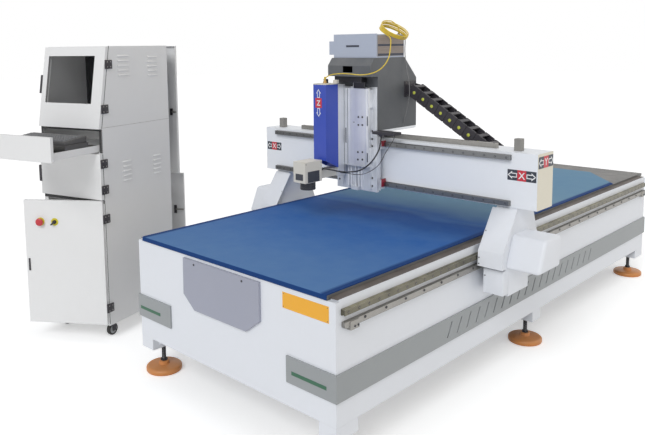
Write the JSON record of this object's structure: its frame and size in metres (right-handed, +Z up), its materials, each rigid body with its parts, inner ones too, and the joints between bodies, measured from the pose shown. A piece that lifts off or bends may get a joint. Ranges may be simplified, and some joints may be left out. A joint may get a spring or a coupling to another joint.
{
  "type": "cnc router",
  "caption": "Gantry engraving router with a fibre-laser scan head: steel bed on levelling feet, bridge on side rails, Z slide, drag chain and a wheeled control cabinet beside it.",
  "frame": {"origin": "on the floor, under the middle of the bounding box of the machine and its cabinet", "axes": "+Y along the bed to its rear, +X to the right seen from its front, +Z up"},
  "size_m": [2.8706, 3.9996, 1.8992],
  "materials": {
    "bed_frame": "satin powder coat",
    "front_cover": "satin paint",
    "side_trim_right": "satin paint",
    "y_rail_right": "ground",
    "y_rack_right": "milled",
    "gantry_leg_right": "satin powder coat",
    "leg_cover_right": "satin powder coat",
    "y_drive_cover_right": "satin powder coat",
    "y_pinion_right": "milled",
    "x_end_stop_right": "matt",
    "foot_front_right": "painted",
    "foot_middle_right": "painted",
    "foot_rear_right": "painted",
    "side_trim_left": "satin paint",
    "y_rail_left": "ground",
    "y_rack_left": "milled",
    "gantry_leg_left": "satin powder coat",
    "leg_cover_left": "satin powder coat",
    "y_drive_cover_left": "satin powder coat",
    "y_pinion_left": "milled",
    "x_end_stop_left": "matt",
    "foot_front_left": "painted",
    "foot_middle_left": "painted",
    "foot_rear_left": "painted",
    "table_top": "plain",
    "table_mat": "matt",
    "gantry_beam": "satin powder coat",
    "x_rail_upper": "ground",
    "x_rail_lower": "ground",
    "x_rack": "milled",
    "x_drag_chain": "satin",
    "x_carriage": "anodised",
    "x_pinion": "milled",
    "carriage_hood": "satin paint",
    "laser_source": "anodised",
    "z_base": "anodised",
    "z_screw": "ground",
    "z_plate": "anodised",
    "column_cover": "satin paint",
    "scan_head": "satin",
    "scan_lens": "satin",
    "fibre_coil": "satin jacket",
    "fibre_lead": "satin jacket",
    "head_cable": "matt",
    "cabinet_shell": "powder coat",
    "monitor_door": "powder coat",
    "keyboard_drawer": "powder coat",
    "middle_door": "powder coat",
    "lower_door": "powder coat",
    "rear_door_upper": "powder coat",
    "rear_door_lower": "powder coat",
    "monitor_window": "clear",
    "e_stop_button": "gloss",
    "selector_switch": "satin",
    "caster_fork_left": "zinc plated",
    "caster_fork_right": "zinc plated",
    "caster_wheel_front_left": "matt",
    "caster_wheel_front_right": "matt",
    "caster_wheel_rear_left": "matt",
    "caster_wheel_rear_right": "matt"
  },
  "bodies": {
    "bed": {"bed_frame": "bed_frame", "front_cover": "front_cover", "side_trim_right": "side_trim_right", "side_trim_left": "side_trim_left", "table_top": "table_top", "table_mat": "table_mat", "y_rail_right": "y_rail_right", "y_rail_left": "y_rail_left", "y_rack_right": "y_rack_right", "y_rack_left": "y_rack_left", "foot_front_right": "foot_front_right", "foot_front_left": "foot_front_left", "foot_middle_right": "foot_middle_right", "foot_middle_left": "foot_middle_left", "foot_rear_right": "foot_rear_right", "foot_rear_left": "foot_rear_left", "cabinet_shell": "cabinet_shell"},
    "gantry": {"gantry_beam": "gantry_beam", "gantry_leg_right": "gantry_leg_right", "gantry_leg_left": "gantry_leg_left", "leg_cover_right": "leg_cover_right", "leg_cover_left": "leg_cover_left", "y_drive_cover_right": "y_drive_cover_right", "y_drive_cover_left": "y_drive_cover_left", "x_rail_upper": "x_rail_upper", "x_rail_lower": "x_rail_lower", "x_rack": "x_rack", "x_end_stop_right": "x_end_stop_right", "x_end_stop_left": "x_end_stop_left", "x_drag_chain": "x_drag_chain"},
    "carriage": {"x_carriage": "x_carriage", "carriage_hood": "carriage_hood", "laser_source": "laser_source", "z_base": "z_base", "fibre_coil": "fibre_coil", "fibre_lead": "fibre_lead", "head_cable": "head_cable"},
    "z_slide": {"z_plate": "z_plate", "column_cover": "column_cover", "scan_head": "scan_head", "scan_lens": "scan_lens"},
    "monitor_lid": {"monitor_door": "monitor_door", "monitor_window": "monitor_window"},
    "y_pinion_right": {"y_pinion_right": "y_pinion_right"},
    "y_pinion_left": {"y_pinion_left": "y_pinion_left"},
    "x_pinion": {"x_pinion": "x_pinion"},
    "z_screw": {"z_screw": "z_screw"},
    "keyboard_drawer": {"keyboard_drawer": "keyboard_drawer"},
    "middle_door": {"middle_door": "middle_door"},
    "lower_door": {"lower_door": "lower_door"},
    "e_stop_button": {"e_stop_button": "e_stop_button"},
    "selector_switch": {"selector_switch": "selector_switch"},
    "rear_door_upper": {"rear_door_upper": "rear_door_upper"},
    "rear_door_lower": {"rear_door_lower": "rear_door_lower"},
    "caster_fork_left": {"caster_fork_left": "caster_fork_left"},
    "caster_fork_right": {"caster_fork_right": "caster_fork_right"},
    "caster_wheel_front_left": {"caster_wheel_front_left": "caster_wheel_front_left"},
    "caster_wheel_front_right": {"caster_wheel_front_right": "caster_wheel_front_right"},
    "caster_wheel_rear_left": {"caster_wheel_rear_left": "caster_wheel_rear_left"},
    "caster_wheel_rear_right": {"caster_wheel_rear_right": "caster_wheel_rear_right"}
  },
  "joints": [
    {"name": "gantry_y", "type": "slide", "parent": "bed", "child": "gantry", "axis": [0, 1, 0], "range_m": [-0.94, 2.04]},
    {"name": "carriage_x", "type": "slide", "parent": "gantry", "child": "carriage", "axis": [1, 0, 0], "range_m": [-0.56, 0.75], "deforming": ["x_drag_chain"]},
    {"name": "z_lift", "type": "slide", "parent": "carriage", "child": "z_slide", "axis": [0, 0, 1], "range_m": [-0.125, 0.004], "deforming": ["fibre_lead", "head_cable"]},
    {"name": "y_pinion_turn_right", "type": "hinge", "parent": "gantry", "child": "y_pinion_right", "pos_m": [1.11628, -0.35816, 0.603], "axis": [1, 0, 0], "continuous": true},
    {"name": "y_pinion_turn_left", "type": "hinge", "parent": "gantry", "child": "y_pinion_left", "pos_m": [-0.30572, -0.35816, 0.603], "axis": [1, 0, 0], "continuous": true},
    {"name": "x_pinion_turn", "type": "hinge", "parent": "carriage", "child": "x_pinion", "pos_m": [0.29528, -0.28266, 1.228], "axis": [0, 0, 1], "continuous": true},
    {"name": "z_screw_turn", "type": "hinge", "parent": "carriage", "child": "z_screw", "pos_m": [0.29528, -0.47816, 1.215], "axis": [0, 0, 1], "continuous": true},
    {"name": "monitor_door_swing", "type": "hinge", "parent": "bed", "child": "monitor_lid", "pos_m": [-0.76881, -1.51842, 1.285], "axis": [-0.0466, 0.1665, 0.9849], "range_deg": [0, 100]},
    {"name": "drawer_pull", "type": "slide", "parent": "bed", "child": "keyboard_drawer", "axis": [0.2696, -0.963, 0], "range_m": [-0.36, 0.04]},
    {"name": "middle_door_swing", "type": "hinge", "parent": "bed", "child": "middle_door", "pos_m": [-0.76872, -1.51876, 1], "axis": [0, 0, 1], "range_deg": [0, 100]},
    {"name": "lower_door_swing", "type": "hinge", "parent": "bed", "child": "lower_door", "pos_m": [-0.76872, -1.51876, 0.48], "axis": [0, 0, 1], "range_deg": [-20, 80]},
    {"name": "e_stop_press", "type": "slide", "parent": "lower_door", "child": "e_stop_button", "axis": [-0.5827, 0.8127, 0], "range_m": [0, 0.008], "stiffness_N_per_m": 500},
    {"name": "selector_turn", "type": "hinge", "parent": "lower_door", "child": "selector_switch", "pos_m": [-1.00959, -1.70624, 0.73], "axis": [-0.5827, 0.8127, 0], "range_deg": [-45, 45]},
    {"name": "rear_upper_swing", "type": "hinge", "parent": "bed", "child": "rear_door_upper", "pos_m": [-1.42661, -1.02351, 1.334], "axis": [0, 0, 1], "range_deg": [-11, 100]},
    {"name": "rear_lower_swing", "type": "hinge", "parent": "bed", "child": "rear_door_lower", "pos_m": [-1.42661, -1.02351, 0.5], "axis": [0, 0, 1], "range_deg": [-19, 100]},
    {"name": "caster_swivel_left", "type": "hinge", "parent": "bed", "child": "caster_fork_left", "pos_m": [-1.21399, -1.56036, 0.086], "axis": [0, 0, 1], "continuous": true},
    {"name": "caster_roll_front_left", "type": "hinge", "parent": "caster_fork_left", "child": "caster_wheel_front_left", "pos_m": [-1.21885, -1.54303, 0.0375], "axis": [0.963, 0.2696, 0], "continuous": true},
    {"name": "caster_roll_rear_left", "type": "hinge", "parent": "bed", "child": "caster_wheel_rear_left", "pos_m": [-1.34341, -1.09814, 0.0375], "axis": [0.963, 0.2696, 0], "continuous": true},
    {"name": "caster_swivel_right", "type": "hinge", "parent": "bed", "child": "caster_fork_right", "pos_m": [-0.84807, -1.4579, 0.086], "axis": [0, 0, 1], "continuous": true},
    {"name": "caster_roll_front_right", "type": "hinge", "parent": "caster_fork_right", "child": "caster_wheel_front_right", "pos_m": [-0.85292, -1.44057, 0.0375], "axis": [0.963, 0.2696, 0], "continuous": true},
    {"name": "caster_roll_rear_right", "type": "hinge", "parent": "bed", "child": "caster_wheel_rear_right", "pos_m": [-0.97748, -0.99568, 0.0375], "axis": [0.963, 0.2696, 0], "continuous": true}
  ],
  "couplings": [
    {"joint": "y_pinion_turn_right", "follows": "gantry_y", "rad_per_m": 48.78},
    {"joint": "y_pinion_turn_left", "follows": "gantry_y", "rad_per_m": 48.78},
    {"joint": "x_pinion_turn", "follows": "carriage_x", "rad_per_m": -48.78},
    {"joint": "z_screw_turn", "follows": "z_lift", "rad_per_m": -628.32}
  ]
}
